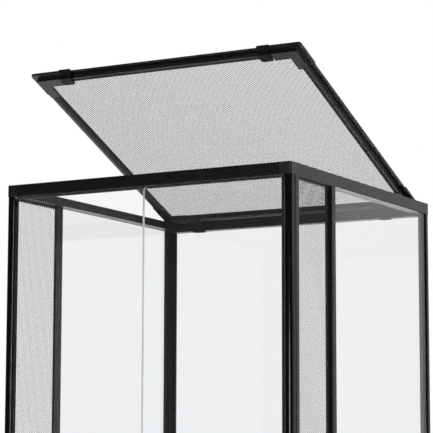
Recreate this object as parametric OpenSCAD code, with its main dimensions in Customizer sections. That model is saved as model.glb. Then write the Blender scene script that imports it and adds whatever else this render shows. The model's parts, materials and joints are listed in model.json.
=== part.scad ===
// Tall terrarium cabinet: black framed, clear walls, perforated side bays,
// two clear front doors on pivot pins and a perforated lid on rear hinges.
// The origin is the middle of the whole outline, on the surface it stands on.
// +X is to the right, +Y to the back, +Z up. Rest pose: doors closed, lid raised.

/* [Cabinet] */
// Outer width, left to right
width = 450; // [380:1:600]
// Outer depth of the frame, front to back
depth = 450; // [380:1:600]
// Height of the frame's top plane above the ground
height = 900; // [600:1:1200]

/* [Frame rails] */
// Height of the rail faces
rail_h = 16.3; // [15:0.1:24]
// Thickness of the rails' outer wall
wall_t = 3; // [2.4:0.1:3.4]
// How far the front and side rails reach in under the lid
ledge_reach = 20; // [17:0.5:24]
// Depth of the box-shaped back rail
back_box = 19.5; // [17:0.1:20]
// Drop of the back rail's inner edge below its face
back_drop = 3.2; // [2:0.1:6]
// Height of the door stop lip on the front rails
lip_h = 4; // [3:0.1:8]
// Thickness of the door stop lip
lip_t = 3; // [2:0.1:4]
// Wall thickness round the hollow cores of the rails and posts
core_wall = 1.4; // [1:0.1:1.8]
// Thickness of the ledge that carries the floor
floor_ledge_t = 2; // [1.5:0.1:4]
// Reach of the floor ledge in from the bottom rails
floor_ledge = 8; // [5:0.5:12]
// Depth of the bottom rails
base_box = 16; // [14:0.5:18]

/* [Posts] */
// Width of a post's face, seen from the front
post_w = 10; // [9:0.1:12]
// Width of a post's face, seen from the side
post_d = 11; // [9:0.1:13]
// Radius of the posts' outer edge
post_r = 5; // [2:0.1:5.5]
// How far the leg behind a door or the back panel reaches in
front_leg = 16.5; // [15.5:0.1:18]
// How far the leg behind a clear side panel reaches in from the back
side_leg = 24; // [19:0.1:26]
// Gap between the front post's side face and the mesh panel
mesh_gap = 2; // [0.5:0.1:3]
// How far the front posts' leg reaches behind the mesh panel
mesh_lap = 2.5; // [2:0.1:8]
// Thickness of the legs
leg_t = 3; // [2:0.1:4]
// Set-back of the legs that the clear panels lie on
seat = 4.2; // [4:0.1:5]
// Set-back of the legs that the mesh panels lie on
mesh_seat = 5.2; // [5:0.1:6]
// Set-back of the front legs, behind the doors
door_seat = 4.5; // [4.4:0.1:5]
// Distance from the front to the clear side panel
bay_d = 130.5; // [120:0.1:160]
// Width of the bar between mesh bay and clear side panel
mullion_w = 8; // [8:0.1:14]
// Reach of the bar's leg behind the mesh panel
mullion_leg = 8.5; // [4:0.1:10]
// Depth of the bar's groove that holds the clear side panel
panel_slot = 3; // [2:0.1:3]

/* [Corner connectors] */
// Radius of the connectors' outer edge
corner_r = 3.3; // [1:0.1:4]
// Length of the frame's corner connectors along the width
corner_w = 18; // [17:0.1:22]
// Length of the front corner connectors along the depth
corner_d = 18; // [17:0.1:22]
// Length of the tenons inside the rails and posts
tenon_l = 12; // [6:0.5:20]
// Clearance of the tenons in the hollow cores
tenon_gap = 0.15; // [0.1:0.05:0.3]

/* [Panels] */
// Thickness of the clear side, back and floor panels
panel_t = 3; // [2:0.1:3.4]
// Gap between the edge of a clear panel and the frame
panel_gap = 0.5; // [0.2:0.1:1.5]
// Distance from the cabinet's side or back to the edge of a panel
panel_edge = 16; // [15:0.1:17]
// Thickness of the mesh panel's rim
mesh_rim_t = 5; // [1.8:0.1:5]
// Width of the mesh panel's upright rim at the post
mesh_rim = 8.7; // [6:0.1:12]
// Width of the mesh panel's upright rim at the bar
mesh_rim_bar = 2.5; // [2:0.1:6]
// Height of the mesh panel's top and bottom rims
mesh_rim_h = 1.2; // [1:0.1:6]
// Thickness of the perforated sheets
sheet_t = 0.5; // [0.5:0.1:1]
// Share of a hole's cell that is left open, across the flats
hole_share = 0.8; // [0.5:0.05:0.9]

/* [Doors] */
// Thickness of the doors
door_t = 4; // [3:0.1:4]
// Gap between door and post, and above and below the door
door_gap = 0.8; // [0.7:0.1:1]
// Gap between the two doors
seam_gap = 1.5; // [0.8:0.1:3]
// Rounding of the hinge edge towards the front
hinge_edge_front_r = 0.6; // [0.6:0.1:1.4]
// Rounding of the hinge edge towards the leg behind the door
hinge_edge_back_r = 1.2; // [1.2:0.1:1.4]
// Radius of the doors' corners at the seam
door_corner_r = 5; // [2:0.5:12]
// Diameter of the pivot pins
pivot_d = 2; // [1.6:0.1:2.2]
// Length of the pivot pins inside the door
pivot_in_door = 12; // [6:0.5:20]
// Length of the pivot pins inside the corner connector
pivot_in_frame = 5; // [3:0.5:8]
// Diameter of the pivot pins' shoulder
shoulder_d = 3.8; // [3:0.1:4]
// Height of the pivot pins' shoulder
shoulder_h = 2.8; // [1.5:0.1:4]
// Distance from the seam to the middle of a knob
knob_in = 20; // [14:0.5:40]
// Diameter of a knob
knob_d = 18; // [12:0.5:26]
// Reach of a knob in front of the doors
knob_reach = 14; // [8:0.5:20]
// Diameter of the knob screws
screw_d = 3.5; // [2.5:0.1:4]
// Diameter of the knob screws' head
screw_head_d = 7; // [5:0.1:9]
// Height of the knob screws' head
screw_head_h = 2.2; // [1.5:0.1:3]
// Length of a magnet and of its strike plate
strike_w = 16; // [8:0.5:24]
// Thickness of a strike plate
strike_t = 1; // [0.6:0.1:1.5]
// Thickness of a catch magnet
magnet_t = 2.5; // [1.5:0.1:2.8]

/* [Lid] */
// How far the lid is raised in the rest pose, in degrees
lid_open = 23.6; // [0:0.05:90]
// Gap between the lid's edge and the side rails' wall
lid_side_gap = 6; // [4:0.1:8]
// Gap between the lid's edge and the front rail's wall
lid_front_gap = 3; // [3:0.1:6]
// Gap between the lid's edge and the back rail
lid_back_gap = 3.5; // [3:0.1:6]
// Thickness of the lid's top flange
flange_t = 2; // [1.5:0.1:3]
// Overhang of the flange beyond the lid's body
overhang = 8; // [6:0.1:10]
// Width of a lid rail, over flange and body
lid_rail_w = 16.3; // [16:0.1:20]
// Thickness of the lid, flange and body
lid_t = 8; // [8:0.1:10]
// Depth of the lid's sheet below its top
sheet_depth = 3; // [2.5:0.1:4]
// Width of the slot edge that the lid's sheet reaches into
slot_d = 3; // [2:0.1:4]
// Width of the lid's solid sheet border inside the rails
lid_border = 6; // [3:0.1:10]
// Width of the groove for the spline
spline_w = 3; // [2:0.1:3.4]
// Depth of the groove for the spline
spline_h = 1.6; // [1:0.1:2]
// Distance from the body's inner edge to the spline groove
spline_in = 1.2; // [1:0.1:1.6]
// Height of the ridge along the body's outer side
ridge_h = 0.8; // [0.4:0.1:1.5]
// How far the ridge stands proud
ridge_t = 0.5; // [0.3:0.1:0.6]

/* [Lid connectors and clips] */
// Skin of the lid's plastic corners over the rails
skin = 0.8; // [0.8:0.1:1.4]
// Skin of the clips over the front rail
clip_skin = 1.8; // [1.5:0.1:2.2]
// How far the corners stand proud of the flange's edge
corner_proud = 1.2; // [1:0.1:2.5]
// Length of the corners' arms along the sides
side_arm = 48; // [25:1:70]
// Gap between the front corners' arms and the clips
clip_gap = 0.5; // [0.3:0.1:10]
// Length of the back corners' arms along the back
back_arm = 40; // [25:1:46]
// Reach of the corners' inner tab past the rail
tab_reach = 6; // [3:0.1:8]
// Radius of the lid's rounded back edge at the corners
back_edge_r = 3; // [1:0.1:3]
// Distance from the cabinet's side to the middle of a clip or hinge
clip_in = 65; // [60:1:150]
// Width of a clip or hinge
clip_w = 19; // [12:0.5:24]
// Reach of the clips' tab past the rail
clip_tab = 5; // [3:0.1:7]
// Depth of the hinge axis below the lid's top
hinge_drop = 5.5; // [5:0.1:6]
// Distance from the lid's back edge to the hinge axis
hinge_in = 4; // [3.6:0.1:4.2]
// Outer radius of the hinge knuckles
knuckle_r = 3.2; // [2.6:0.1:3.4]
// Radius of the hinge pins
hinge_pin_r = 1.2; // [0.8:0.1:1.5]
// Width of the lid's knuckle between the two frame knuckles
lid_knuckle_w = 9; // [6:0.1:12]
// Thickness of the hinge plate on the back rail
hinge_plate_t = 2; // [1.2:0.1:2.4]
// Reach of the hinge plate's hook under the back rail
hinge_hook = 8; // [4:0.5:10]

/* [Feet] */
// Height of the rubber feet
foot_h = 2; // [1:0.5:6]
// Diameter of the rubber feet
foot_d = 14; // [10:0.5:17]

/* [Hidden] */
$fn = 64;

// Finishes, as the photograph shows them
metal_black = [0.07, 0.07, 0.075];
plastic_black = [0.05, 0.05, 0.055];
clear = [0.86, 0.9, 0.9, 0.35];
mesh_grey = [0.2, 0.2, 0.21];
steel = [0.7, 0.7, 0.72];
rubber_black = [0.04, 0.04, 0.04];

fit = 0.02;          // parts pressed or screwed together
run = 0.05;          // radial clearance of a pin that turns
side_play = 0.3;     // gap between knuckles
lid_seat_gap = 0.4;  // closed lid above the ledge
cut = 1;             // how far a cutting shape runs past a face

half_w = width / 2;
half_d = depth / 2;
base_top = foot_h + rail_h;                // top of the bottom rails
face_bottom = height - rail_h;             // bottom of the top rails
opening_h = face_bottom - base_top;        // between bottom and top rails
ledge_top = lid_t + clip_skin + lid_seat_gap;  // ledge below the top plane
bar_h = rail_h - ledge_top;                // ledge thickness
front_y = -half_d;
back_y = half_d;

door_z0 = base_top + door_gap;
door_z1 = face_bottom - door_gap;
door_h = door_z1 - door_z0;
pivot_x = post_w + door_gap + door_t / 2;  // from the cabinet's side
pivot_y = door_t / 2;                      // from the cabinet's front
door_w = half_w - pivot_x - seam_gap / 2;  // axis to seam
knob_x = seam_gap / 2 + knob_in;
knob_z = door_z0 + door_h / 2;

// The lid in its own closed place
lid_half_w = half_w - wall_t - lid_side_gap;
lid_y0 = front_y + wall_t + lid_front_gap;
lid_y1 = back_y - back_box - lid_back_gap;
lid_d = lid_y1 - lid_y0;
clip_x = half_w - clip_in;
front_arm = lid_half_w - clip_x - clip_w / 2 - clip_gap;
axis_y = lid_y1 - hinge_in;
axis_z = height - hinge_drop;
body_h = lid_t - flange_t;
notch_w = clip_w + 2 * side_play;
bevel = 3;                                 // bevelled ends of the clips' tabs

// The frame is set back by half the knobs' reach, so that the whole outline is centred
module placed() {
    translate([0, knob_reach / 2, 0]) children();
}

module mirror_x(on) {
    mirror([on ? 1 : 0, 0, 0]) children();
}

module mirror_y(on) {
    mirror([0, on ? 1 : 0, 0]) children();
}

// A flat outline (in, up) drawn out along X or along Y
module along_x(x0, x1) {
    translate([x0, 0, 0]) rotate([90, 0, 90]) linear_extrude(x1 - x0) children();
}

module along_y(y0, y1) {
    translate([0, y1, 0]) rotate([90, 0, 0]) linear_extrude(y1 - y0) children();
}

module block(x0, x1, y0, y1, z0, z1) {
    translate([x0, y0, z0]) cube([x1 - x0, y1 - y0, z1 - z0]);
}

// ---- frame rails ----

// Hollow core of the ledge bar
module ledge_core() {
    translate([core_wall, -rail_h + core_wall])
        square([ledge_reach - 2 * core_wall, bar_h - 2 * core_wall]);
}

// Tenon in that core, no wider than the corner connector that carries it
module ledge_tenon(corner) {
    reach = min(corner, ledge_reach - core_wall) - tenon_gap;
    translate([core_wall + tenon_gap, -rail_h + core_wall + tenon_gap])
        square([reach - core_wall - tenon_gap, bar_h - 2 * core_wall - 2 * tenon_gap]);
}

module ledge_outline() {
    difference() {
        union() {
            translate([0, -rail_h]) square([wall_t, rail_h]);
            translate([0, -rail_h]) square([ledge_reach, bar_h]);
        }
        ledge_core();
    }
}

module back_core(gap) {
    translate([core_wall + gap, -rail_h + core_wall + gap])
        square([back_box - 2 * core_wall - 2 * gap, rail_h - 2 * core_wall - 2 * gap]);
}

module back_outline() {
    difference() {
        union() {
            translate([0, -rail_h]) square([back_box, rail_h]);
            translate([seat, -rail_h - back_drop]) square([back_box - seat, back_drop]);
        }
        back_core(0);
    }
}

module base_core(gap) {
    translate([core_wall + gap, core_wall + gap])
        square([base_box - 2 * core_wall - 2 * gap, rail_h - 2 * core_wall - 2 * gap]);
}

module base_outline() {
    difference() {
        union() {
            square([base_box, rail_h]);
            translate([base_box, rail_h / 2 - floor_ledge_t])
                square([floor_ledge, floor_ledge_t]);
        }
        base_core(0);
    }
}

module top_rail_front() {
    color(metal_black) placed() translate([0, front_y, height]) {
        along_x(-half_w + corner_w, half_w - corner_w) ledge_outline();
        along_x(-half_w + front_leg, half_w - front_leg)
            translate([door_seat, -rail_h - lip_h]) square([lip_t, lip_h]);
    }
}

module top_rail_back() {
    color(metal_black) placed() mirror_y(true) translate([0, front_y, height])
        along_x(-half_w + corner_w, half_w - corner_w) back_outline();
}

// The side rails' ledge stops at the front rail's ledge
module top_rail_side(right) {
    color(metal_black) placed() mirror_x(right) translate([-half_w, 0, height])
        difference() {
            along_y(front_y + corner_d, back_y - back_box) ledge_outline();
            block(corner_w, ledge_reach + cut, front_y, front_y + ledge_reach,
                -rail_h - cut, cut);
        }
}

// Pockets in the lower front lip that hold the catch magnets
module magnet_pocket(right, gap) {
    x0 = seam_gap / 2 + knob_in - strike_w / 2;
    mirror_x(!right) block(x0 - gap, x0 + strike_w + gap,
        front_y + door_seat - (gap > 0 ? cut : 0), front_y + door_seat + magnet_t + gap,
        base_top + door_gap - gap, base_top + lip_h - door_gap + gap);
}

module bottom_rail_front() {
    color(metal_black) placed() difference() {
        translate([0, front_y, foot_h]) {
            along_x(-half_w + corner_w, half_w - corner_w) base_outline();
            along_x(-half_w + front_leg, half_w - front_leg)
                translate([door_seat, rail_h]) square([lip_t, lip_h]);
        }
        magnet_pocket(false, fit);
        magnet_pocket(true, fit);
    }
}

module bottom_rail_back() {
    color(metal_black) placed() mirror_y(true) translate([0, front_y, foot_h])
        along_x(-half_w + corner_w, half_w - corner_w) base_outline();
}

// The side rails' floor ledge stops at the front and back ledges
module bottom_rail_side(right) {
    reach = base_box + floor_ledge;
    color(metal_black) placed() mirror_x(right) translate([-half_w, 0, foot_h])
        difference() {
            along_y(front_y + corner_d, back_y - corner_d) base_outline();
            for (y0 = [front_y, back_y - reach])
                block(base_box, reach + cut, y0, y0 + reach, -cut, rail_h);
        }
}

// ---- posts and mullions ----

// The core's outer edge runs round with the post's
module post_core(gap) {
    wall = core_wall + gap;
    translate([post_r, wall]) square([post_w - post_r - wall, post_d - 2 * wall]);
    translate([wall, post_r]) square([post_w - 2 * wall, post_d - post_r - wall]);
    translate([post_r, post_r]) circle(post_r - wall);
}

module post_outline(leg_seat, side_seat, side_reach) {
    difference() {
        union() {
            translate([post_r, 0]) square([post_w - post_r, post_d]);
            translate([0, post_r]) square([post_w, post_d - post_r]);
            translate([post_r, post_r]) circle(post_r);
            translate([post_w, leg_seat]) square([front_leg - post_w, leg_t]);
            translate([side_seat, post_d]) square([leg_t, side_reach - post_d]);
        }
        post_core(0);
    }
}

module post(right, back) {
    color(metal_black) placed() mirror_x(right) mirror_y(back)
        translate([-half_w, front_y, base_top]) linear_extrude(opening_h)
            if (back) post_outline(seat, seat, side_leg);
            else post_outline(door_seat, mesh_seat, post_d + mesh_gap + mesh_lap);
}

module mullion(right) {
    box_t = mesh_seat + leg_t;
    color(metal_black) placed() mirror_x(right)
        translate([-half_w, front_y + bay_d - mullion_w, base_top]) linear_extrude(opening_h)
            difference() {
                union() {
                    square([box_t, mullion_w]);
                    translate([mesh_seat, -mullion_leg]) square([leg_t, mullion_leg]);
                }
                translate([core_wall, core_wall])
                    square([box_t - 2 * core_wall, mullion_w - panel_slot - 2 * core_wall]);
                // groove for the clear panel's edge
                translate([seat - panel_t - fit, mullion_w - panel_slot])
                    square([panel_t + 2 * fit, panel_slot + cut]);
            }
}

// ---- corner connectors of the frame ----

module corner_plan(d) {
    translate([corner_r, 0]) square([corner_w - corner_r, d]);
    translate([0, corner_r]) square([corner_w, d - corner_r]);
    translate([corner_r, corner_r]) circle(corner_r);
}

module pivot_bore(z0, h) {
    translate([pivot_x, pivot_y, z0]) cylinder(d = pivot_d + 2 * run, h = h);
}

module post_tenon(z0) {
    translate([0, 0, z0]) linear_extrude(tenon_l) post_core(tenon_gap);
}

module top_corner_front(right) {
    color(plastic_black) placed() mirror_x(right) translate([-half_w, front_y, 0]) {
        difference() {
            translate([0, 0, face_bottom]) linear_extrude(rail_h) corner_plan(corner_d);
            block(wall_t, corner_w + cut, wall_t, corner_d + cut,
                height - ledge_top, height + cut);
            pivot_bore(face_bottom - cut, pivot_in_frame + 2 * cut);
        }
        translate([0, 0, height]) along_x(corner_w, corner_w + tenon_l) ledge_tenon(corner_d);
        translate([0, 0, height]) along_y(corner_d, corner_d + tenon_l) ledge_tenon(corner_w);
        post_tenon(face_bottom - tenon_l);
    }
}

module top_corner_back(right) {
    color(plastic_black) placed() mirror_x(right) mirror_y(true)
        translate([-half_w, front_y, 0]) {
            translate([0, 0, face_bottom]) linear_extrude(rail_h) corner_plan(back_box);
            block(front_leg, corner_w, seat, back_box, face_bottom - back_drop, face_bottom);
            translate([0, 0, height]) along_x(corner_w, corner_w + tenon_l)
                back_core(tenon_gap);
            translate([0, 0, height]) along_y(back_box, back_box + tenon_l)
                ledge_tenon(corner_w);
            post_tenon(face_bottom - tenon_l);
        }
}

module bottom_corner(right, back) {
    color(plastic_black) placed() mirror_x(right) mirror_y(back)
        translate([-half_w, front_y, 0]) {
            difference() {
                translate([0, 0, foot_h]) linear_extrude(rail_h) corner_plan(corner_d);
                if (!back) pivot_bore(base_top - pivot_in_frame - cut,
                    pivot_in_frame + 2 * cut);
            }
            translate([0, 0, foot_h]) along_x(corner_w, corner_w + tenon_l)
                base_core(tenon_gap);
            translate([0, 0, foot_h]) along_y(corner_d, corner_d + tenon_l)
                base_core(tenon_gap);
            post_tenon(base_top);
        }
}

// ---- panels ----

module side_panel(right) {
    color(clear) placed() mirror_x(right)
        block(-half_w + seat - panel_t, -half_w + seat,
            front_y + bay_d - panel_slot + panel_gap, back_y - panel_edge,
            base_top + panel_gap, face_bottom - panel_gap);
}

module back_panel() {
    color(clear) placed()
        block(-half_w + panel_edge - panel_gap, half_w - panel_edge + panel_gap,
            back_y - seat, back_y - seat + panel_t,
            base_top + panel_gap, face_bottom - panel_gap);
}

module floor_panel() {
    x1 = half_w - base_box - panel_gap;
    y1 = half_d - base_box - panel_gap;
    z0 = foot_h + rail_h / 2;
    inset = corner_w - base_box;
    color(plastic_black) placed() difference() {
        block(-x1, x1, -y1, y1, z0, z0 + panel_t);
        for (sx = [-1, 1]) for (sy = [-1, 1])
            translate([sx * x1, sy * y1, z0 + panel_t / 2])
                cube([2 * inset, 2 * inset, 2 * panel_t], center = true);
    }
}

// A sheet of size a by b with staggered six-sided holes, border on every side
module perforated(a, b, border_a, border_b, columns, rows) {
    pitch_a = (a - 2 * border_a) / (columns + 0.5);
    pitch_b = (b - 2 * border_b) / rows;
    hole_d = min(pitch_a, pitch_b) * hole_share;
    difference() {
        square([a, b]);
        for (row = [0 : rows - 1]) for (column = [0 : columns - 1])
            translate([
                border_a + pitch_a * (column + 0.5 + (row % 2) / 2),
                border_b + pitch_b * (row + 0.5)
            ]) circle(d = hole_d, $fn = 6);
    }
}

mesh_y0 = front_y + post_d + mesh_gap;
mesh_y1 = front_y + bay_d - mullion_w;
mesh_z0 = base_top;
mesh_z1 = face_bottom;

module mesh_rim_side(right) {
    color(metal_black) placed() mirror_x(right) difference() {
        block(-half_w + mesh_seat - mesh_rim_t, -half_w + mesh_seat,
            mesh_y0, mesh_y1, mesh_z0, mesh_z1);
        block(-half_w, -half_w + mesh_seat + cut, mesh_y0 + mesh_rim, mesh_y1 - mesh_rim_bar,
            mesh_z0 + mesh_rim_h, mesh_z1 - mesh_rim_h);
    }
}

// Fine perforation, drawn coarse
module mesh_sheet_side(right) {
    color(mesh_grey) placed() mirror_x(right)
        translate([-half_w + mesh_seat - sheet_t, mesh_y0 + mesh_rim, mesh_z0 + mesh_rim_h])
            rotate([90, 0, 90]) linear_extrude(sheet_t)
                perforated(mesh_y1 - mesh_y0 - mesh_rim - mesh_rim_bar,
                    mesh_z1 - mesh_z0 - 2 * mesh_rim_h, 2, 4, 2, 35);
}

// ---- feet and catch ----

module feet() {
    color(rubber_black) placed() for (sx = [-1, 1]) for (sy = [-1, 1])
        translate([sx * (half_w - corner_w / 2), sy * (half_d - corner_d / 2), 0])
            cylinder(d = foot_d, h = foot_h);
}

module catch_magnets() {
    color(steel) placed() {
        magnet_pocket(false, 0);
        magnet_pocket(true, 0);
    }
}

// ---- hinges of the lid ----

module hinge_plate(right) {
    plate_y1 = back_y - back_box;
    plate_y0 = plate_y1 - hinge_plate_t;
    rail_bottom = height - rail_h - back_drop;
    hook_z = rail_bottom - hinge_plate_t;
    side_w = (clip_w - lid_knuckle_w) / 2 - side_play;
    arm_top = axis_z - knuckle_r / 5;
    color(plastic_black) placed() mirror_x(!right) translate([clip_x - clip_w / 2, 0, 0])
        difference() {
            union() {
                block(0, clip_w, plate_y0, plate_y1, hook_z, arm_top);
                block(bevel / 2, clip_w - bevel / 2, plate_y0, plate_y1 + hinge_hook,
                    hook_z, rail_bottom);
                for (x0 = [0, clip_w - side_w]) {
                    translate([x0, axis_y, axis_z]) rotate([0, 90, 0])
                        cylinder(r = knuckle_r, h = side_w);
                    block(x0, x0 + side_w, axis_y, plate_y1, axis_z - knuckle_r, arm_top);
                }
            }
            translate([-cut, axis_y, axis_z]) rotate([0, 90, 0])
                cylinder(r = hinge_pin_r + fit, h = clip_w + 2 * cut);
        }
}

module hinge_pins() {
    color(steel) placed() for (sx = [-1, 1])
        translate([sx * clip_x - clip_w / 2, axis_y, axis_z]) rotate([0, 90, 0])
            cylinder(r = hinge_pin_r, h = clip_w);
}

// ---- lid ----

// Turns the closed lid about its hinge axis to the rest pose
module raised() {
    placed() translate([0, axis_y, axis_z]) rotate([-lid_open, 0, 0])
        translate([0, -axis_y, -axis_z]) children();
}

module spline_outline(gap) {
    translate([lid_rail_w - spline_in - spline_w + gap, -lid_t])
        square([spline_w - 2 * gap, spline_h - gap]);
}

module lid_rail_outline() {
    difference() {
        union() {
            translate([0, -flange_t]) square([lid_rail_w, flange_t]);
            translate([overhang, -lid_t]) square([lid_rail_w - overhang, lid_t]);
            translate([overhang - ridge_t, -flange_t - body_h / 2 - ridge_h / 2])
                square([ridge_t + 1, ridge_h]);
        }
        translate([lid_rail_w - slot_d, -sheet_depth - sheet_t - fit])
            square([slot_d + cut, sheet_t + 2 * fit]);
        translate([lid_rail_w - spline_in - spline_w, -lid_t - cut])
            square([spline_w, spline_h + cut]);
    }
}

module hinge_notches() {
    for (sx = [-1, 1]) translate([sx * clip_x - notch_w / 2, lid_y1 - overhang,
        height - lid_t - cut])
            cube([notch_w, overhang + cut, lid_t + 2 * cut]);
}

module lid_rail_across(back) {
    color(metal_black) raised() difference() {
        translate([0, back ? lid_y1 : lid_y0, height]) mirror_y(back)
            along_x(-lid_half_w + lid_rail_w, lid_half_w - lid_rail_w) lid_rail_outline();
        if (back) hinge_notches();
    }
}

module lid_rail_side(right) {
    color(metal_black) raised() mirror_x(right) translate([-lid_half_w, 0, height])
        along_y(lid_y0 + lid_rail_w, lid_y1 - lid_rail_w) lid_rail_outline();
}

// Plastic skin over a rail: top, edge, underside of the overhang, body and tab
module sleeve_outline(proud, tab, wall) {
    side = overhang - ridge_t - wall;
    difference() {
        union() {
            translate([-proud, -flange_t - wall]) square([proud + lid_rail_w, flange_t + 2 * wall]);
            translate([side, -lid_t - wall]) square([lid_rail_w + tab - side, lid_t]);
        }
        translate([0, -flange_t]) square([lid_rail_w + cut, flange_t]);
        translate([overhang - ridge_t, -lid_t]) square([lid_rail_w + tab + cut, lid_t]);
    }
}

module lid_corner_arms(front) {
    arm = front ? front_arm : back_arm;
    block_s = lid_rail_w;
    // along the front or back
    along_x(block_s, arm) sleeve_outline(front ? corner_proud : 0, tab_reach, skin);
    // along the side
    along_y(block_s, side_arm) sleeve_outline(corner_proud, tab_reach, skin);
    // inner tab in the corner
    block(block_s, block_s + tab_reach, block_s, block_s + tab_reach,
        -lid_t - skin, -lid_t);
}

module lid_corner_block(front) {
    proud_y = front ? corner_proud : 0;
    side = overhang - ridge_t - skin;
    difference() {
        union() {
            block(-corner_proud, lid_rail_w, -proud_y, lid_rail_w, -flange_t - skin, skin);
            block(side, lid_rail_w, side, lid_rail_w, -lid_t - skin, 0);
        }
        // clipped outer corner
        translate([-corner_proud, -proud_y, -lid_t]) rotate([0, 0, 45])
            cube([corner_r, corner_r, 4 * lid_t], center = true);
    }
}

module lid_corner(right, back) {
    slot_s = lid_rail_w - slot_d;
    color(plastic_black) raised() mirror_x(right)
        translate([-lid_half_w, back ? lid_y1 : lid_y0, height]) mirror_y(back)
            difference() {
                union() {
                    lid_corner_block(!back);
                    lid_corner_arms(!back);
                }
                if (back) back_edge_round();
                // slot for the corner of the lid's sheet
                block(slot_s, lid_rail_w + cut, slot_s, lid_rail_w + cut,
                    -sheet_depth - sheet_t - fit, -sheet_depth + fit);
            }
}

// Rounds the top edge over the hinge side
module back_edge_round() {
    difference() {
        block(-corner_proud - cut, back_arm + cut, -cut, back_edge_r,
            skin - back_edge_r, skin + cut);
        translate([-corner_proud - 2 * cut, back_edge_r, skin - back_edge_r])
            rotate([0, 90, 0]) cylinder(r = back_edge_r, h = back_arm + corner_proud + 4 * cut);
    }
}

// Fine perforation, drawn coarse
module lid_mesh() {
    in = lid_rail_w - slot_d + fit;
    color(mesh_grey) raised()
        translate([-lid_half_w + in, lid_y0 + in, height - sheet_depth - sheet_t])
            linear_extrude(sheet_t)
                perforated(2 * lid_half_w - 2 * in, lid_d - 2 * in,
                    slot_d + lid_border, slot_d + lid_border, 12, 12);
}

module lid_spline() {
    color(rubber_black) raised() {
        for (back = [false, true])
            translate([0, back ? lid_y1 : lid_y0, height]) mirror_y(back)
                along_x(-lid_half_w + lid_rail_w, lid_half_w - lid_rail_w)
                    spline_outline(fit);
        for (right = [false, true])
            mirror_x(right) translate([-lid_half_w, 0, height])
                along_y(lid_y0 + lid_rail_w, lid_y1 - lid_rail_w) spline_outline(fit);
    }
}

// Front clip, round the lid's front rail
module lid_clip(right) {
    color(plastic_black) raised() mirror_x(!right)
        translate([0, lid_y0, height]) difference() {
            along_x(clip_x - clip_w / 2, clip_x + clip_w / 2)
                sleeve_outline(clip_skin, clip_tab, clip_skin);
            // bevelled ends of the tab
            for (x0 = [clip_x - clip_w / 2, clip_x + clip_w / 2])
                translate([x0, lid_rail_w + clip_tab, -lid_t - clip_skin]) rotate([0, 0, 45])
                    cube([bevel, bevel, 4 * clip_skin], center = true);
        }
}

// Back clip with the lid's hinge knuckle
module lid_knuckle(right) {
    knuckle_x0 = clip_x - lid_knuckle_w / 2;
    body_y = overhang;
    color(plastic_black) raised() mirror_x(!right)
        translate([0, lid_y1, height]) mirror_y(true) difference() {
            union() {
                block(clip_x - clip_w / 2, clip_x + clip_w / 2,
                    body_y, lid_rail_w + clip_tab, -lid_t - skin, -lid_t);
                block(knuckle_x0, knuckle_x0 + lid_knuckle_w,
                    hinge_in, body_y, -hinge_drop - knuckle_r, -hinge_drop + knuckle_r);
                block(knuckle_x0, knuckle_x0 + lid_knuckle_w,
                    body_y - skin, body_y, -lid_t - skin, -hinge_drop);
                translate([knuckle_x0, hinge_in, -hinge_drop]) rotate([0, 90, 0])
                    cylinder(r = knuckle_r, h = lid_knuckle_w);
            }
            translate([knuckle_x0 - cut, hinge_in, -hinge_drop]) rotate([0, 90, 0])
                cylinder(r = hinge_pin_r + run, h = lid_knuckle_w + 2 * cut);
            for (x0 = [clip_x - clip_w / 2, clip_x + clip_w / 2])
                translate([x0, lid_rail_w + clip_tab, -lid_t - skin]) rotate([0, 0, 45])
                    cube([bevel, bevel, 4 * skin], center = true);
        }
}

// ---- doors ----

// Places a left door's own frame: x from the axis to the seam, y from the front face
module door_frame(right) {
    placed() mirror_x(right) translate([-half_w + pivot_x, front_y, 0]) children();
}

module door_outline() {
    r = door_corner_r;
    along_z = door_h;
    translate([-pivot_y, 0]) square([door_w + pivot_y - r, along_z]);
    translate([door_w - r, r]) square([r, along_z - 2 * r]);
    for (z = [r, along_z - r]) translate([door_w - r, z]) circle(r);
}

module pivot_bores_in_door() {
    for (z0 = [door_z0 - cut, door_z1 - shoulder_h - pivot_in_door])
        translate([0, pivot_y, z0])
            cylinder(d = pivot_d + 2 * fit, h = pivot_in_door + shoulder_h + cut);
}

// The door seen from above, its hinge edge rounded so that it clears post and leg
module door_plan() {
    front_r = hinge_edge_front_r;
    back_r = hinge_edge_back_r;
    edge = -door_t / 2;
    translate([edge + back_r, 0]) square([door_w - edge - back_r, door_t]);
    translate([edge + front_r, 0]) square([back_r, door_t - back_r]);
    translate([edge, front_r]) square([back_r, door_t - front_r - back_r]);
    translate([edge + front_r, front_r]) circle(front_r);
    translate([edge + back_r, door_t - back_r]) circle(back_r);
}

module door_panel(right) {
    notch_h = shoulder_h;
    color(clear) door_frame(right) difference() {
        intersection() {
            translate([0, door_t, door_z0]) rotate([90, 0, 0]) linear_extrude(door_t)
                door_outline();
            translate([0, 0, door_z0 - cut]) linear_extrude(door_h + 2 * cut) door_plan();
        }
        pivot_bores_in_door();
        for (z0 = [door_z0 - cut, door_z1 - notch_h])
            block(-pivot_y - cut, shoulder_d / 2 + door_gap, -cut, door_t + cut,
                z0, z0 + notch_h + cut);
        translate([door_w - knob_in, -cut, knob_z]) rotate([-90, 0, 0])
            cylinder(d = screw_d + 4 * run, h = door_t + 2 * cut);
        block(door_w - knob_in - strike_w / 2 - fit, door_w - knob_in + strike_w / 2 + fit,
            door_t - strike_t - fit, door_t + cut, door_z0 + 1 - fit, door_z0 + 1 + lip_h);
    }
}

module door_strike(right) {
    color(steel) door_frame(right)
        block(door_w - knob_in - strike_w / 2, door_w - knob_in + strike_w / 2,
            door_t - strike_t, door_t, door_z0 + 1, door_z0 + 1 + lip_h - 2 * fit);
}

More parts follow.
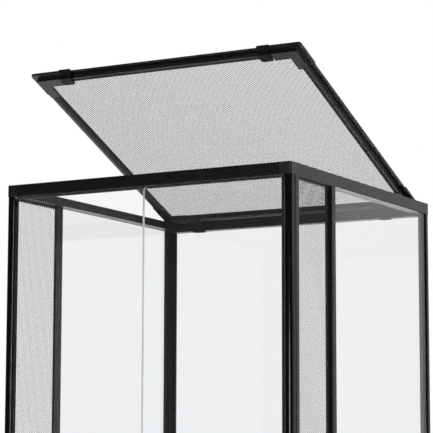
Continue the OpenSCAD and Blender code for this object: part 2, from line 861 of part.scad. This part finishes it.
// Stepped pins, pressed into the door and turning in the frame's corner connectors
module door_pins(right) {
    color(steel) door_frame(right) for (up = [0, 1])
        translate([0, pivot_y, up ? door_z1 : door_z0]) mirror([0, 0, 1 - up]) {
            translate([0, 0, -shoulder_h - pivot_in_door])
                cylinder(d = pivot_d, h = pivot_in_door + shoulder_h + door_gap + pivot_in_frame);
            translate([0, 0, -shoulder_h])
                cylinder(d = shoulder_d, h = shoulder_h + door_gap / 2);
        }
}

module door_knob(right) {
    stem_r = knob_d * 0.3;
    head_r = knob_d / 2;
    color(plastic_black) door_frame(right)
        translate([door_w - knob_in, 0, knob_z]) rotate([90, 0, 0]) rotate_extrude()
            difference() {
                union() {
                    square([stem_r, knob_reach - 2]);
                    square([head_r * 0.75, 1.5]);
                    translate([0, knob_reach * 0.45]) square([head_r - 2, knob_reach * 0.55]);
                    translate([0, knob_reach * 0.45 + 2])
                        square([head_r, knob_reach * 0.55 - 4]);
                    for (y = [knob_reach * 0.45 + 2, knob_reach - 2])
                        translate([head_r - 2, y]) circle(2);
                }
                square([screw_d / 2 + fit, knob_reach - 3]);
            }
}

module door_screw(right) {
    color(steel) door_frame(right)
        translate([door_w - knob_in, door_t + screw_head_h, knob_z]) rotate([90, 0, 0]) {
            difference() {
                cylinder(d = screw_head_d, h = screw_head_h);
                for (turn = [0, 90]) rotate([0, 0, turn])
                    cube([screw_head_d * 0.55, 0.9, screw_head_h], center = true);
            }
            cylinder(d = screw_d, h = screw_head_h + door_t + knob_reach - 4);
        }
}

top_rail_front();
top_rail_back();
top_rail_side(false);  // top_rail_left
top_rail_side(true);  // top_rail_right
bottom_rail_front();
bottom_rail_back();
bottom_rail_side(false);  // bottom_rail_left
bottom_rail_side(true);  // bottom_rail_right
post(false, false);  // post_front_left
post(true, false);  // post_front_right
post(false, true);  // post_back_left
post(true, true);  // post_back_right
mullion(false);  // mullion_left
mullion(true);  // mullion_right
top_corner_front(false);  // top_corner_front_left
top_corner_front(true);  // top_corner_front_right
top_corner_back(false);  // top_corner_back_left
top_corner_back(true);  // top_corner_back_right
bottom_corner(false, false);  // bottom_corner_front_left
bottom_corner(true, false);  // bottom_corner_front_right
bottom_corner(false, true);  // bottom_corner_back_left
bottom_corner(true, true);  // bottom_corner_back_right
side_panel(false);  // side_panel_left
side_panel(true);  // side_panel_right
back_panel();
floor_panel();
mesh_rim_side(false);  // mesh_rim_left
mesh_rim_side(true);  // mesh_rim_right
mesh_sheet_side(false);  // mesh_sheet_left
mesh_sheet_side(true);  // mesh_sheet_right
feet();
catch_magnets();
hinge_plate(false);  // hinge_plate_left
hinge_plate(true);  // hinge_plate_right
hinge_pins();
lid_rail_across(false);  // lid_rail_front
lid_rail_across(true);  // lid_rail_back
lid_rail_side(false);  // lid_rail_left
lid_rail_side(true);  // lid_rail_right
lid_corner(false, false);  // lid_corner_front_left
lid_corner(true, false);  // lid_corner_front_right
lid_corner(false, true);  // lid_corner_back_left
lid_corner(true, true);  // lid_corner_back_right
lid_mesh();
lid_spline();
lid_clip(false);  // lid_clip_left
lid_clip(true);  // lid_clip_right
lid_knuckle(false);  // lid_knuckle_left
lid_knuckle(true);  // lid_knuckle_right
door_panel(false);  // door_left_panel
door_pins(false);  // door_left_pins
door_knob(false);  // door_left_knob
door_screw(false);  // door_left_screw
door_strike(false);  // door_left_strike
door_panel(true);  // door_right_panel
door_pins(true);  // door_right_pins
door_knob(true);  // door_right_knob
door_screw(true);  // door_right_screw
door_strike(true);  // door_right_strike
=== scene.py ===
"""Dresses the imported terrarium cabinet: fine perforated sheets, eased edges and real finishes."""

import json
import math

import bmesh
import bpy
from mathutils import Matrix, Vector


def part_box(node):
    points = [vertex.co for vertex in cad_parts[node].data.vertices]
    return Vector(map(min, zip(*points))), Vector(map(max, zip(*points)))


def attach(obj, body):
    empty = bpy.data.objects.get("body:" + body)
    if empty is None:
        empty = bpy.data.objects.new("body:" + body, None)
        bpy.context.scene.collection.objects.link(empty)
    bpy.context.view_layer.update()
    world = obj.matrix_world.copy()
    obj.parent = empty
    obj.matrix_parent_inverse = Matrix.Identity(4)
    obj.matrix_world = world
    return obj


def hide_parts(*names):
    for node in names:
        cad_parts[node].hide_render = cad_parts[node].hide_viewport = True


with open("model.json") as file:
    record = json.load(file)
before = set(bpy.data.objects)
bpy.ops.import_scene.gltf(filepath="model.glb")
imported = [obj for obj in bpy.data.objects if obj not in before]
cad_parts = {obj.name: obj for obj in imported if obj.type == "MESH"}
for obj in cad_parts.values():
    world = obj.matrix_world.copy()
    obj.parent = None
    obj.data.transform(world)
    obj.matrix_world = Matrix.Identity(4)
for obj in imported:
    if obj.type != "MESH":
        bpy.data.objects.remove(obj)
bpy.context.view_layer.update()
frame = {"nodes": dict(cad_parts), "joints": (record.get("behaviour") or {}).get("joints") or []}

MM = 0.001


# ---- camera ----

PHOTO_PX = 433
FOCAL_PX = 1926.5
SENSOR_MM = 36
SETBACK = 7 * MM  # the cabinet's middle lies this far behind that of the outline with its knobs
FROM_CABINET = Vector((1.3493, -2.4218, 0.4880))  # where the camera stands, in metres
TURNED = math.radians(29.36)  # from looking straight back, to the left
LOOKS_UP = math.radians(7.818)
ROLLED = math.radians(0.138)


def photo_camera():
    """A low camera in front of the right corner, looking a little up at the raised lid."""
    data = bpy.data.cameras.new("photo_camera")
    data.sensor_width = SENSOR_MM
    data.lens = SENSOR_MM * FOCAL_PX / PHOTO_PX
    camera = bpy.data.objects.new("photo_camera", data)
    camera.matrix_world = (
        Matrix.Translation(FROM_CABINET + Vector((0, SETBACK, 0)))
        @ Matrix.Rotation(TURNED, 4, "Z")
        @ Matrix.Rotation(math.pi / 2 + LOOKS_UP, 4, "X")
        @ Matrix.Rotation(ROLLED, 4, "Z")
    )
    bpy.context.scene.collection.objects.link(camera)
    bpy.context.scene.camera = camera


photo_camera()


# ---- finishes ----

NOISE_REACH = {"From Min": 0.3, "From Max": 0.7}  # most of a noise texture's values lie here
WHITE = (1, 1, 1, 1)


def colour(written):
    """An sRGB hex value as the linear colour that a socket takes."""
    channels = [int(written[i : i + 2], 16) / 255 for i in (1, 3, 5)]
    return [
        c / 12.92 if c <= 0.04045 else ((c + 0.055) / 1.055) ** 2.4 for c in channels
    ] + [1]


def add(tree, kind, inputs=None, **settings):
    """Adds a node with its settings; an input is a plain value or another node's output. On a
    Mix node 2 and 3 are the plain numbers, and 6 and 7 the colours, with 2 as their output."""
    made = tree.nodes.new(kind)
    for name, value in settings.items():
        setattr(made, name, value)
    for name, value in (inputs or {}).items():
        if isinstance(value, bpy.types.NodeSocket):
            tree.links.new(value, made.inputs[name])
        else:
            made.inputs[name].default_value = value
    return made


def finish_tree(name):
    """An empty material, its node tree and its object coordinates."""
    material = bpy.data.materials.new(name)
    material.use_nodes = True
    tree = material.node_tree
    tree.nodes.clear()
    place = add(tree, "ShaderNodeTexCoord").outputs["Object"]
    return material, tree, place


def per_metre(size_mm):
    """The scale at which one cell of a pattern is this many millimetres wide."""
    return 1 / (size_mm * MM)


def grained_finish(name, grain_mm, detail, tones, roughness, relief=None, sockets=None):
    """An opaque finish whose cloudy grain mixes two tones and spreads the roughness. Where it
    has a relief, as a strength and a depth in mm, the grain also stands out."""
    material, tree, place = finish_tree(name)
    grain = add(
        tree,
        "ShaderNodeTexNoise",
        {"Vector": place, "Scale": per_metre(grain_mm), "Detail": detail},
    ).outputs["Fac"]
    tone = add(
        tree,
        "ShaderNodeMix",
        {0: grain, 6: colour(tones[0]), 7: colour(tones[1])},
        data_type="RGBA",
    ).outputs[2]
    spread = add(
        tree,
        "ShaderNodeMapRange",
        {"Value": grain, **NOISE_REACH, "To Min": roughness[0], "To Max": roughness[1]},
    ).outputs["Result"]
    inputs = {"Base Color": tone, "Roughness": spread, **(sockets or {})}
    if relief:
        strength, depth_mm = relief
        inputs["Normal"] = add(
            tree,
            "ShaderNodeBump",
            {"Height": grain, "Strength": strength, "Distance": depth_mm * MM},
        ).outputs["Normal"]
    shader = add(tree, "ShaderNodeBsdfPrincipled", inputs)
    add(tree, "ShaderNodeOutputMaterial", {"Surface": shader.outputs[0]})
    return material


def black_anodised_aluminium(name, direction, tilt=0.0, polished=False):
    """Extruded aluminium, anodised black: a satin, slightly grey black with faint die lines
    along the profile. Polished first, it is a deep, even black with sharp, thin highlights."""
    material, tree, place = finish_tree("black_anodised_aluminium_" + name)
    die_line_mm = 0.5
    line_stretch = 60  # how many times longer than wide a die line is drawn
    cloud_mm = 45
    drawn_out = [line_stretch if direction == axis else 1 for axis in "xyz"]
    along = add(
        tree,
        "ShaderNodeMapping",
        {"Vector": place, "Rotation": (-tilt, 0, 0), "Scale": drawn_out},
        vector_type="TEXTURE",
    ).outputs["Vector"]
    lines = add(
        tree,
        "ShaderNodeTexNoise",
        {"Vector": along, "Scale": per_metre(die_line_mm), "Detail": 3},
    ).outputs["Fac"]
    clouds = add(
        tree,
        "ShaderNodeTexNoise",
        {"Vector": place, "Scale": per_metre(cloud_mm), "Detail": 2},
    ).outputs["Fac"]
    tone = add(
        tree,
        "ShaderNodeMix",
        {0: clouds, 6: colour("#09090a"), 7: colour("#0d0d0e")},
        data_type="RGBA",
    ).outputs[2]
    smoothest, roughest = (0.08, 0.11) if polished else (0.24, 0.31)
    spread = add(
        tree,
        "ShaderNodeMapRange",
        {"Value": lines, **NOISE_REACH, "To Min": smoothest, "To Max": roughest},
    ).outputs["Result"]
    inputs = {
        "Base Color": tone,
        "Roughness": spread,
        "Specular IOR Level": 0.25 if polished else 0.5,
    }
    if not polished:
        inputs["Normal"] = add(
            tree,
            "ShaderNodeBump",
            {"Height": lines, "Strength": 0.14, "Distance": 0.02 * MM},
        ).outputs["Normal"]
    shader = add(tree, "ShaderNodeBsdfPrincipled", inputs)
    add(tree, "ShaderNodeOutputMaterial", {"Surface": shader.outputs[0]})
    return material


def moulded_black(name, roughness, specular):
    """Injection moulded plastic with a fine eroded grain: a duller black than the metal. ABS
    still shines when it is seen flat, glass filled nylon hardly does. The grain is drawn
    coarser than the real one, so that it shows."""
    return grained_finish(
        "moulded_black_" + name,
        grain_mm=0.7,
        detail=3,
        tones=("#0b0b0c", "#101011"),
        roughness=roughness,
        relief=(0.25, 0.03),
        sockets={"Specular IOR Level": specular, "IOR": 1.53},
    )


def black_powder_coat():
    """Perforated aluminium sheet with a thin black powder coat: even, with a slight peel."""
    return grained_finish(
        "black_powder_coated_sheet",
        grain_mm=0.9,
        detail=2,
        tones=("#0c0c0d", "#121213"),
        roughness=(0.42, 0.5),
        relief=(0.3, 0.02),
    )


def black_hard_foam():
    """Hard foam sheet of the floor: matt, with a fine closed-cell skin."""
    return grained_finish(
        "black_hard_foam_sheet",
        grain_mm=1.2,
        detail=4,
        tones=("#121213", "#1a1a1b"),
        roughness=(0.6, 0.75),
        relief=(0.4, 0.05),
    )


def black_rubber():
    """Moulded rubber: a soft dull black with a little dust in its skin."""
    return grained_finish(
        "moulded_black_rubber",
        grain_mm=2.5,
        detail=5,
        tones=("#0b0b0b", "#161616"),
        roughness=(0.65, 0.85),
        sockets={"IOR": 1.52},
    )


def zinc_plated_steel(name):
    """Turned steel with bright zinc: light grey metal with fine marks from the bath, drawn
    coarser than the real ones, so that they show."""
    return grained_finish(
        name,
        grain_mm=0.8,
        detail=3,
        tones=("#8f908f", "#a5a6a5"),
        roughness=(0.22, 0.34),
        sockets={"Metallic": 1.0},
    )


def paint_shade_on_pin(material, bottom, top):
    """Paints a steel pin black from one height to another, in the door's bore: painted shade for
    the shade it lies in beside the post.
    """
    tree = material.node_tree
    shader = tree.nodes["Principled BSDF"]
    bright = shader.inputs["Base Color"].links[0].from_socket
    place = tree.nodes["Texture Coordinate"].outputs["Object"]
    height = add(tree, "ShaderNodeSeparateXYZ", {"Vector": place}).outputs["Z"]
    in_shade = add(
        tree,
        "ShaderNodeMath",
        {0: height, 1: (bottom + top) / 2, 2: (top - bottom) / 2},
        operation="COMPARE",
    ).outputs[0]
    # painted shade: black where the pin runs through the door, zinc above and below
    tone = add(
        tree,
        "ShaderNodeMix",
        {0: in_shade, 6: bright, 7: colour("#0b0b0c")},
        data_type="RGBA",
    ).outputs[2]
    bare = add(tree, "ShaderNodeMath", {0: 1.0, 1: in_shade}, operation="SUBTRACT").outputs[0]
    tree.links.new(tone, shader.inputs["Base Color"])
    tree.links.new(bare, shader.inputs["Metallic"])


CLEAR_TINT = "#fdfeff"


def clear_acrylic(name):
    """Cast acrylic sheet: nearly colourless and faintly wavy, it mirrors the room more the
    flatter it is seen. Lamps shine through it."""
    material, tree, place = finish_tree("clear_acrylic_" + name)
    waves = add(
        tree,
        "ShaderNodeTexNoise",
        {"Vector": place, "Scale": per_metre(70), "Detail": 1},
    ).outputs["Fac"]
    bump = add(
        tree,
        "ShaderNodeBump",
        {"Height": waves, "Strength": 0.05, "Distance": 0.02 * MM},
    ).outputs["Normal"]
    sheet = add(
        tree,
        "ShaderNodeBsdfPrincipled",
        {
            "Base Color": colour(CLEAR_TINT),
            "Roughness": 0.0,
            "IOR": 1.49,
            "Transmission Weight": 1.0,
            "Normal": bump,
        },
    )
    open_to_lamps = add(tree, "ShaderNodeBsdfTransparent", {"Color": colour("#f7f7f7")})
    lamp_ray = add(tree, "ShaderNodeLightPath").outputs["Is Shadow Ray"]
    mix = add(
        tree,
        "ShaderNodeMixShader",
        {0: lamp_ray, 1: sheet.outputs[0], 2: open_to_lamps.outputs[0]},
    )
    add(tree, "ShaderNodeOutputMaterial", {"Surface": mix.outputs[0]})
    return material


def dress_door_edges(material):
    """Finishes the edges of a door's clear sheet. Light from the whole sheet leaves at the sawn
    edges, which face left and right, so they look pale. The hinge edges, which are milled
    round, are painted black as painted shade, for the shade they lie in beside the posts."""
    tree = material.node_tree
    sheet = tree.nodes["Principled BSDF"]
    normal = tree.nodes["Texture Coordinate"].outputs["Normal"]
    facing = add(tree, "ShaderNodeSeparateXYZ", {"Vector": normal})
    sideways = add(
        tree, "ShaderNodeMath", {0: facing.outputs["X"]}, operation="ABSOLUTE"
    ).outputs[0]
    sawn = add(
        tree, "ShaderNodeMath", {0: sideways, 1: 0.99}, operation="GREATER_THAN"
    ).outputs[0]
    slant = add(
        tree,
        "ShaderNodeMath",
        {0: facing.outputs["X"], 1: facing.outputs["Y"]},
        operation="MULTIPLY",
    ).outputs[0]
    slant = add(tree, "ShaderNodeMath", {0: slant}, operation="ABSOLUTE").outputs[0]
    # faces and sawn edges have no slant, and from 0.1 on the painted shade covers all
    painted_shade = add(
        tree,
        "ShaderNodeMapRange",
        {"Value": slant, "From Min": 0.01, "From Max": 0.1},
    ).outputs["Result"]
    # painted shade: black on the milled hinge edges, which lie in shade beside the posts
    tone = add(
        tree,
        "ShaderNodeMix",
        {0: painted_shade, 6: colour(CLEAR_TINT), 7: colour("#0b0b0c")},
        data_type="RGBA",
    ).outputs[2]
    tree.links.new(tone, sheet.inputs["Base Color"])
    # what the clear faces have, and what a sawn edge and the painted shade add to it
    for socket, on_faces, sawn_adds, shade_adds in (
        ("Roughness", 0.0, 0.4, 0.5),
        ("Transmission Weight", 1.0, -0.6, -1.0),
        ("Specular IOR Level", 0.5, 0.0, -0.4),
    ):
        value = on_faces
        for edge, change in ((sawn, sawn_adds), (painted_shade, shade_adds)):
            value = add(
                tree,
                "ShaderNodeMath",
                {0: edge, 1: change, 2: value},
                operation="MULTIPLY_ADD",
            ).outputs[0]
        tree.links.new(value, sheet.inputs[socket])


lid_hinge = next(joint for joint in frame["joints"] if joint["name"] == "lid_hinge")
LID_RAISED = -math.radians(lid_hinge["range_deg"][0])  # from closed, as it stands at rest

profile_x = black_anodised_aluminium("rail_across", "x")
profile_y = black_anodised_aluminium("rail_deep", "y")
profile_z = black_anodised_aluminium("upright", "z")
profile_lid = black_anodised_aluminium("lid_side", "y", tilt=LID_RAISED)
profile_post = black_anodised_aluminium("post", "z", polished=True)
abs_black = moulded_black("abs", roughness=(0.3, 0.38), specular=0.5)
nylon_black = moulded_black("nylon", roughness=(0.5, 0.6), specular=0.2)
powder_coat = black_powder_coat()
foam = black_hard_foam()
rubber = black_rubber()
zinc = zinc_plated_steel("zinc_plated_steel")
# the door pins carry painted shade where they run through the door
door_pin = zinc_plated_steel("steel_pin_with_painted_shade")
door_low, door_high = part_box("door_left_panel")
paint_shade_on_pin(door_pin, door_low[2], door_high[2])
acrylic = clear_acrylic("wall")
door_acrylic = clear_acrylic("door")
dress_door_edges(door_acrylic)


def finish_of(node):
    """The finish that a CAD node shows."""
    if node in ("lid_rail_left", "lid_rail_right"):
        return profile_lid
    if "rail" in node:
        return profile_y if node.endswith(("left", "right")) else profile_x
    if "post" in node:
        return profile_post
    if "mullion" in node or "mesh_rim" in node:
        return profile_z
    if node == "floor_panel":
        return foam
    if "panel" in node:
        return door_acrylic if "door" in node else acrylic
    if "mesh" in node:
        return powder_coat
    if node in ("feet", "lid_spline"):
        return rubber
    if "door" in node and "pins" in node:
        return door_pin
    if any(word in node for word in ("pins", "screw", "strike", "magnets")):
        return zinc
    if "clip" in node or "knuckle" in node or "hinge_plate" in node:
        return nylon_black
    return abs_black


for node, piece in frame["nodes"].items():
    piece.data.materials.clear()
    piece.data.materials.append(finish_of(node))


# ---- eased edges ----

EXTRUDED_EDGE = 0.4 * MM
MOULDED_EDGE = 0.3 * MM
WELD_GAP = 0.001 * MM
FLAT_WITHIN = math.radians(1)
SHARP_FROM = math.radians(40)


def ease_edges(node, width):
    """Breaks a CAD node's sharp edges, as the die, the mould or the polisher leaves them. Its
    loose triangles are joined and made flat faces first."""
    piece = frame["nodes"][node]
    weld = piece.modifiers.new("weld", "WELD")
    weld.merge_threshold = WELD_GAP
    flat = piece.modifiers.new("flat", "DECIMATE")
    flat.decimate_type = "DISSOLVE"
    flat.angle_limit = FLAT_WITHIN
    bevel = piece.modifiers.new("bevel", "BEVEL")
    bevel.width = width
    bevel.segments = 2
    bevel.limit_method = "ANGLE"
    bevel.angle_limit = SHARP_FROM
    piece.data.shade_smooth()
    even = piece.modifiers.new("even", "WEIGHTED_NORMAL")
    even.keep_sharp = True


for node in frame["nodes"]:
    if "rail" in node or "post" in node or "mullion" in node:
        ease_edges(node, EXTRUDED_EDGE)
    elif "corner" in node or "clip" in node or "mesh_rim" in node:
        ease_edges(node, MOULDED_EDGE)


# ---- perforated sheets ----

PITCH = 3.3 * MM  # from hole to hole
HOLE_SHARE = 0.88  # a hole's width, as a share of the pitch
CELL_R = PITCH / math.sqrt(3)  # of the six-sided cell round each hole
COLUMN = 1.5 * CELL_R  # from one column of cells to the next
SIDE_SHEET_T = 0.22 * MM
SIDE_BORDER = 0.3 * MM
LID_SHEET_T = 0.43 * MM
LID_BORDER = 0.5 * MM
LID_SHEET_UP = 0.05 * MM  # over the lower face of the CAD sheet
SLACK = 0.001 * MM  # for comparing places
CELL_WELD = 0.01 * MM  # joins the corners of cells that touch
ON_CUT = 0.0001 * MM  # a corner this near a cut lies on it


def copy_moved(bm, geom, step):
    """Copies geom and moves the copy by step."""
    made = bmesh.ops.duplicate(bm, geom=geom)["geom"]
    verts = [part for part in made if isinstance(part, bmesh.types.BMVert)]
    bmesh.ops.translate(bm, vec=step, verts=verts)


def stagger(column):
    """How far a column of cells is moved up: half a pitch in every other one."""
    return PITCH / 2 if column % 2 else 0


def honeycomb(corner, first_column, columns, rows):
    """A flat honeycomb of six-sided cells, built up from the one at its lower left corner,
    which is turned so that its flat sides lie against the rows above and below."""
    bm = bmesh.new()
    bmesh.ops.create_circle(
        bm,
        cap_ends=True,
        segments=6,
        radius=CELL_R,
        matrix=Matrix.Translation(corner) @ Matrix.Rotation(math.radians(30), 4, "Z"),
    )
    cell = bm.verts[:] + bm.edges[:] + bm.faces[:]
    for row in range(1, rows):
        copy_moved(bm, cell, Vector((0, row * PITCH, 0)))
    stack = bm.verts[:] + bm.edges[:] + bm.faces[:]
    for column in range(1, columns):
        up = stagger(first_column + column) - stagger(first_column)
        copy_moved(bm, stack, Vector((column * COLUMN, up, 0)))
    bmesh.ops.remove_doubles(bm, verts=bm.verts[:], dist=CELL_WELD)
    return bm


def punch(bm, size, border):
    """Opens a hole in each cell that lies within the border."""
    margin = (border + CELL_R - SLACK, border + PITCH / 2 - SLACK)
    holes = []
    for cell in bm.faces:
        middle = cell.calc_center_median()
        if all(margin[i] < middle[i] < size[i] - margin[i] for i in (0, 1)):
            holes.append(cell)
    bridge = PITCH * (1 - HOLE_SHARE)
    bmesh.ops.inset_individual(bm, faces=holes, thickness=bridge / 2, use_even_offset=True)
    bmesh.ops.delete(bm, geom=holes, context="FACES")


def trim(bm, size):
    """Cuts off what reaches past the sheet's four edges."""
    near, far = (0, 0, 0), (size[0], size[1], 0)
    for corner, outward in (
        (near, (-1, 0, 0)),
        (near, (0, -1, 0)),
        (far, (1, 0, 0)),
        (far, (0, 1, 0)),
    ):
        bmesh.ops.bisect_plane(
            bm,
            geom=bm.verts[:] + bm.edges[:] + bm.faces[:],
            dist=ON_CUT,
            plane_co=corner,
            plane_no=outward,
            clear_outer=True,
        )


def perforated_sheet(name, node, body, size, border, thickness, place, lengths):
    """A thin sheet with staggered holes, laid out flat and put in place. It is cut between its
    rows of cells into several lengths, because one mesh would be too large. The real holes are
    round; at their size six sides are enough."""
    columns = int((size[0] - 2 * border - 2 * CELL_R) / COLUMN) + 1
    rows = int((size[1] - 2 * border) / PITCH - 0.5)  # half a row goes to the stagger
    spare = 2 + int(border / COLUMN)  # cells past the holes on each side, trimmed to the edge
    first = Vector(
        (size[0] / 2 - (columns - 1) / 2 * COLUMN, size[1] / 2 - (rows - 0.5) / 2 * PITCH, 0)
    )
    low, high = -spare, rows + spare
    cuts = [round(low + (high - low) * i / lengths) for i in range(lengths + 1)]
    for number, (start, end) in enumerate(zip(cuts, cuts[1:]), 1):
        corner = first + Vector((-spare * COLUMN, start * PITCH, 0))
        bm = honeycomb(corner, -spare, columns + 2 * spare, end - start)
        punch(bm, size, border)
        trim(bm, size)
        bmesh.ops.solidify(bm, geom=bm.faces[:], thickness=thickness)
        bmesh.ops.recalc_face_normals(bm, faces=bm.faces[:])
        bmesh.ops.transform(bm, matrix=place, verts=bm.verts[:])
        if place.determinant() < 0:
            bmesh.ops.reverse_faces(bm, faces=bm.faces[:])
        mesh = bpy.data.meshes.new(f"{name}_{number}")
        bm.to_mesh(mesh)
        bm.free()
        mesh.materials.append(powder_coat)
        piece = bpy.data.objects.new(mesh.name, mesh)
        bpy.context.scene.collection.objects.link(piece)
        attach(piece, body)
        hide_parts(node)


for side, inward in (("left", 1), ("right", -1)):
    low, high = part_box("mesh_sheet_" + side)
    outer_x = low[0] if side == "left" else high[0]
    # the flat sheet's x runs along the depth, its y up and its z inwards
    place = Matrix(
        ((0, 0, inward, outer_x), (1, 0, 0, low[1]), (0, 1, 0, low[2]), (0, 0, 0, 1))
    )
    perforated_sheet(
        name=f"side_mesh_{side}",
        node="mesh_sheet_" + side,
        body="frame",
        size=(high[1] - low[1], high[2] - low[2]),
        border=SIDE_BORDER,
        thickness=SIDE_SHEET_T,
        place=place,
        lengths=2,
    )

lid_axis = Vector(lid_hinge["pos_m"])
raised = (
    Matrix.Translation(lid_axis)
    @ Matrix.Rotation(-LID_RAISED, 4, "X")
    @ Matrix.Translation(-lid_axis)
)
lowered = [raised.inverted() @ v.co for v in frame["nodes"]["lid_mesh"].data.vertices]
low, high = (Vector([pick(v[i] for v in lowered) for i in range(3)]) for pick in (min, max))
perforated_sheet(
    name="lid_mesh_fine",
    node="lid_mesh",
    body="lid",
    size=(high[0] - low[0], high[1] - low[1]),
    border=LID_BORDER,
    thickness=LID_SHEET_T,
    place=raised @ Matrix.Translation(low + Vector((0, 0, LID_SHEET_UP))),
    lengths=4,
)


# ---- floor, world and lamps ----

FLOOR_REACH = 6  # metres each way
SHADOW_REACH = 0.5  # up to here the floor shows the cabinet's shadow
WHITE_FROM = 2.4  # and from here on it is plain white to the eye


def pale_floor():
    """A plain pale floor that keeps the cabinet's shadow and, further off, is plain white to
    the eye, so that no horizon shows."""
    bm = bmesh.new()
    bmesh.ops.create_grid(bm, x_segments=1, y_segments=1, size=FLOOR_REACH)
    mesh = bpy.data.meshes.new("pale_floor")
    bm.to_mesh(mesh)
    bm.free()
    material, tree, place = finish_tree("pale_floor")
    shader = add(
        tree,
        "ShaderNodeBsdfPrincipled",
        {"Base Color": colour("#f8f8f8"), "Roughness": 0.9},
    )
    white = add(tree, "ShaderNodeEmission", {"Color": WHITE, "Strength": 1.0})
    distance = add(
        tree, "ShaderNodeVectorMath", {0: place}, operation="LENGTH"
    ).outputs["Value"]
    far = add(
        tree,
        "ShaderNodeMapRange",
        {"Value": distance, "From Min": SHADOW_REACH, "From Max": WHITE_FROM},
        interpolation_type="SMOOTHSTEP",
    ).outputs["Result"]
    rays = add(tree, "ShaderNodeLightPath")
    direct = add(
        tree,
        "ShaderNodeMath",
        {0: rays.outputs["Is Camera Ray"], 1: rays.outputs["Is Transmission Ray"]},
        operation="MAXIMUM",
    ).outputs[0]
    share = add(tree, "ShaderNodeMath", {0: direct, 1: far}, operation="MULTIPLY")
    mix = add(
        tree,
        "ShaderNodeMixShader",
        {0: share.outputs[0], 1: shader.outputs[0], 2: white.outputs[0]},
    )
    add(tree, "ShaderNodeOutputMaterial", {"Surface": mix.outputs[0]})
    mesh.materials.append(material)
    floor = bpy.data.objects.new("pale_floor", mesh)
    bpy.context.scene.collection.objects.link(floor)


# Directions are parts of a unit vector: X to the right, Y to the back, Z up.
DARK_Y, BRIGHT_Y = -0.45, 0.55  # between these the mirrored room goes from dark to bright
DARK_ROOM, BRIGHT_ROOM = 0.02, 0.66
LOW_BOX_Y = -0.8  # the low soft box lies further to the front than this
LOW_BOX = (("X", -0.01, 0.21), ("Z", 0.02, 0.055))  # its middle and its reach each way
LOW_BOX_STRENGTH = 14
THROUGH_SHEET_LEAST = 0.3  # what gloss shows at least when it is seen through clear sheet
ALL_ROUND = 0.85  # what lights matt surfaces


def studio_world():
    """White all round to the eye and through the panels. What gloss mirrors is bright at the
    back and falls off to the dark studio in front, where a low soft box stands and draws a
    thin line down each rounded edge."""
    world = bpy.data.worlds.new("studio")
    world.use_nodes = True
    tree = world.node_tree
    tree.nodes.clear()
    direction = add(tree, "ShaderNodeTexCoord").outputs["Generated"]
    axes = add(tree, "ShaderNodeSeparateXYZ", {"Vector": direction})
    room = add(
        tree,
        "ShaderNodeMapRange",
        {
            "Value": axes.outputs["Y"],
            "From Min": DARK_Y,
            "From Max": BRIGHT_Y,
            "To Min": DARK_ROOM,
            "To Max": BRIGHT_ROOM,
        },
        interpolation_type="SMOOTHSTEP",
    ).outputs["Result"]
    low_box = add(
        tree, "ShaderNodeMath", {0: axes.outputs["Y"], 1: LOW_BOX_Y}, operation="LESS_THAN"
    ).outputs[0]
    for axis, middle, reach in LOW_BOX:
        inside = add(
            tree,
            "ShaderNodeMath",
            {0: axes.outputs[axis], 1: middle, 2: reach},
            operation="COMPARE",
        ).outputs[0]
        low_box = add(
            tree, "ShaderNodeMath", {0: low_box, 1: inside}, operation="MULTIPLY"
        ).outputs[0]
    mirrored = add(
        tree,
        "ShaderNodeMath",
        {0: low_box, 1: LOW_BOX_STRENGTH, 2: room},
        operation="MULTIPLY_ADD",
    ).outputs[0]
    behind_sheet = add(
        tree,
        "ShaderNodeMath",
        {0: mirrored, 1: THROUGH_SHEET_LEAST},
        operation="MAXIMUM",
    ).outputs[0]
    rays = add(tree, "ShaderNodeLightPath")
    was_mirrored = add(
        tree,
        "ShaderNodeMath",
        {0: rays.outputs["Glossy Depth"], 1: 1.0},
        operation="MINIMUM",
    ).outputs[0]
    through = add(
        tree, "ShaderNodeMix", {0: was_mirrored, 2: 1.0, 3: behind_sheet}
    ).outputs[0]
    strength = ALL_ROUND
    for ray, shown in (
        ("Is Glossy Ray", mirrored),
        ("Is Transmission Ray", through),
        ("Is Camera Ray", 1.0),
    ):
        strength = add(
            tree, "ShaderNodeMix", {0: rays.outputs[ray], 2: strength, 3: shown}
        ).outputs[0]
    background = add(tree, "ShaderNodeBackground", {"Color": WHITE, "Strength": strength})
    add(tree, "ShaderNodeOutputWorld", {"Surface": background.outputs[0]})
    bpy.context.scene.world = world


LAMPS_AIM = Vector((0, 0, 0.6))  # a little above the cabinet's middle


def soft_lamp(name, place, size, power):
    """A large round soft box that looks at the cabinet."""
    data = bpy.data.lights.new(name, "AREA")
    data.shape = "DISK"
    data.size = size
    data.energy = power
    lamp = bpy.data.objects.new(name, data)
    lamp.location = place
    lamp.rotation_euler = (LAMPS_AIM - Vector(place)).to_track_quat("-Z", "Y").to_euler()
    bpy.context.scene.collection.objects.link(lamp)


pale_floor()
studio_world()
soft_lamp("soft_box_above", place=(0.6, 0.4, 3.2), size=2.0, power=26)
soft_lamp("soft_box_right", place=(2.6, 0.6, 1.6), size=1.4, power=14)

bpy.context.scene.view_settings.view_transform = "Standard"
